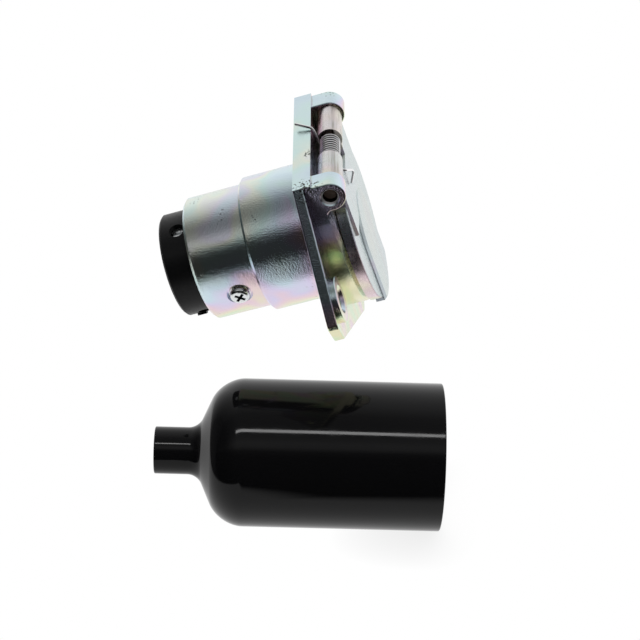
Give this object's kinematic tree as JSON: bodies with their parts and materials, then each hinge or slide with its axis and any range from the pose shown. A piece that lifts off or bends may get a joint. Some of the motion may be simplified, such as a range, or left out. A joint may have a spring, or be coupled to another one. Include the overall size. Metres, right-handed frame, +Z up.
{
  "type": "three-pin socket",
  "caption": "Flanged metal socket with a stepped barrel, a sprung hinged lid, a moulded contact carrier and a push-on rubber cable boot shown taken off.",
  "frame": {"origin": "centre of the flange's rear face, on the barrel's axis, midway between the two mounting holes", "axes": "+Z up towards the lid hinge, -Y out of the plug mouth, +Y along the barrel to the cable end, X along the hinge"},
  "size_m": [0.0991, 0.0916, 0.1261],
  "materials": {
    "zinc_casting": "bright zinc plating with a faint iridescent passivation",
    "zinc_lid": "bright zinc plating, softly streaked",
    "steel_pin": "dull steel end faces",
    "spring_steel": "bright drawn wire",
    "screw_steel": "zinc plated",
    "contact_brass": "turned brass",
    "black_moulding": "satin black moulding",
    "gasket_rubber": "soft black rubber",
    "boot_rubber": "glossy black soft moulding"
  },
  "bodies": {
    "socket_body": {"housing": "zinc_casting", "hinge_pin": "steel_pin", "torsion_spring": "spring_steel", "contact_insert": "black_moulding", "insert_seal_ring": "gasket_rubber", "contact_1": "contact_brass", "contact_2": "contact_brass", "contact_3": "contact_brass", "terminal_screw_1": "screw_steel", "terminal_screw_2": "screw_steel", "terminal_screw_3": "screw_steel", "retaining_screw_1": "screw_steel", "retaining_screw_2": "screw_steel", "lock_washer_1": "screw_steel", "lock_washer_2": "screw_steel", "boot": "boot_rubber"},
    "lid": {"lid": "zinc_lid", "lid_gasket": "gasket_rubber"}
  },
  "joints": [
    {"name": "lid_hinge", "type": "hinge", "parent": "socket_body", "child": "lid", "pos_m": [0, -0.0094, 0.0252], "axis": [-1, 0, 0], "range_deg": [0, 110], "stiffness_Nm_per_rad": 0.02, "springref_deg": -68.75, "deforming": ["torsion_spring"]}
  ]
}
